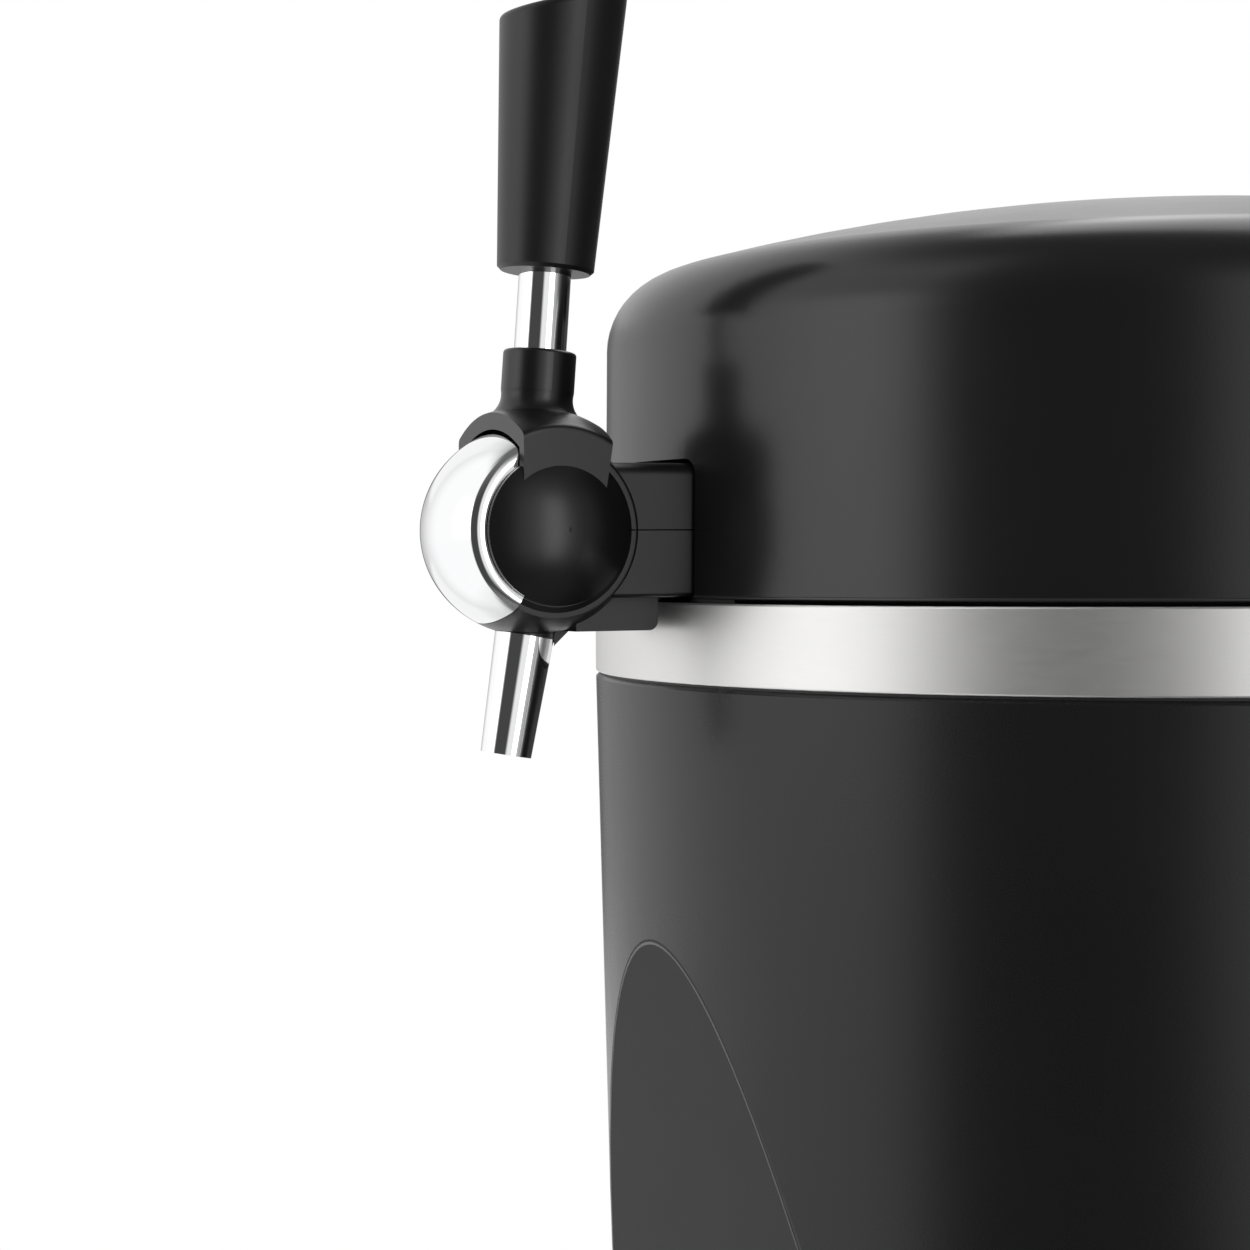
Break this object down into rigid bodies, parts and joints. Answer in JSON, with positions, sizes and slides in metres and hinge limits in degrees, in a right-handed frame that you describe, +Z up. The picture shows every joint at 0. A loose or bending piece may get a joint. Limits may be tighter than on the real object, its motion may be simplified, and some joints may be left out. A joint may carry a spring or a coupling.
{
  "type": "draft beer dispenser",
  "caption": "Counter-top draft beer dispenser: round cooled cabinet for a small keg, hinged domed lid, steel rim band, lever tap with chrome spout, and a pull-out drip tray",
  "frame": {"origin": "on the floor, under the middle of the footprint from the drip tray's front to the hinge's back; the cabinet's own axis stands 31.75 mm behind it", "axes": "+Z up, the tap and the drip tray are at the front, towards -Y, and +X is to the right of someone who looks along +Y at the tap"},
  "size_m": [0.27, 0.3564, 0.4341],
  "materials": {
    "cabinet_plastic": "fine-grain matte",
    "lid_plastic": "fine-grain matte",
    "base_plastic": "matte",
    "tap_plastic": "satin",
    "inner_plastic": "satin",
    "fan_plastic": "satin",
    "valve_plastic": "satin",
    "hose_plastic": "satin",
    "ceramic": "matte",
    "circuit_board": "satin",
    "foam": "matte",
    "foot_rubber": "matte",
    "seal_rubber": "matte",
    "band_steel": "brushed",
    "grid_steel": "brushed",
    "screw_steel": "satin",
    "chrome": "polished",
    "liner_aluminium": "satin"
  },
  "bodies": {
    "cabinet": {"base_deck": "inner_plastic", "base_pan": "base_plastic", "beer_hose": "hose_plastic", "body_shell": "cabinet_plastic", "cold_block": "liner_aluminium", "cord_gland": "foot_rubber", "fan_frame": "fan_plastic", "fan_screws": "screw_steel", "foot_screws": "screw_steel", "heat_sink": "liner_aluminium", "hinge_bracket": "base_plastic", "hinge_pin": "screw_steel", "hinge_screws": "screw_steel", "insulation_jacket": "foam", "keg_line_spigot": "valve_plastic", "keg_liner": "liner_aluminium", "peltier_module": "ceramic", "power_board": "circuit_board", "rear_panel": "base_plastic", "rim_collar": "base_plastic", "rubber_feet": "foot_rubber", "spout": "chrome", "steel_band": "band_steel", "switch_bezel": "tap_plastic", "tap_front_cover": "chrome", "tap_lower_housing": "tap_plastic", "tap_screws": "screw_steel", "tap_upper_housing": "tap_plastic", "valve_body": "valve_plastic"},
    "lid": {"lid_shell": "lid_plastic", "lid_liner": "inner_plastic", "lid_insulation": "foam", "lid_seal": "seal_rubber", "lid_hinge_leaf": "base_plastic", "leaf_screws": "screw_steel"},
    "lever": {"lever_yoke": "tap_plastic", "pivot_cap_right": "tap_plastic", "pivot_cap_left": "tap_plastic", "valve_plug": "valve_plastic", "plug_seals": "seal_rubber", "lever_rod": "chrome", "lever_handle": "tap_plastic"},
    "tray": {"drip_tray": "base_plastic"},
    "grid": {"drip_grid": "grid_steel"},
    "fan": {"fan_rotor": "fan_plastic"},
    "rocker": {"switch_rocker": "tap_plastic"}
  },
  "joints": [
    {"name": "lid_hinge", "type": "hinge", "parent": "cabinet", "child": "lid", "pos_m": [0, 0.17323, 0.304], "axis": [-1, 0, 0], "range_deg": [0, 80]},
    {"name": "lever_pull", "type": "hinge", "parent": "cabinet", "child": "lever", "pos_m": [0, -0.13146, 0.3181], "axis": [1, 0, 0], "range_deg": [0, 50]},
    {"name": "tray_slide", "type": "slide", "parent": "cabinet", "child": "tray", "axis": [0, -1, 0], "range_m": [0, 0.08]},
    {"name": "grid_lift", "type": "slide", "parent": "tray", "child": "grid", "axis": [0, 0, 1], "range_m": [0, 0.018]},
    {"name": "fan_spin", "type": "hinge", "parent": "cabinet", "child": "fan", "pos_m": [0, 0.14473, 0.13], "axis": [0, 1, 0], "continuous": true},
    {"name": "power_switch", "type": "hinge", "parent": "cabinet", "child": "rocker", "pos_m": [-0.015, 0.15003, 0.056], "axis": [-1, 0, 0], "range_deg": [0, 16]}
  ]
}
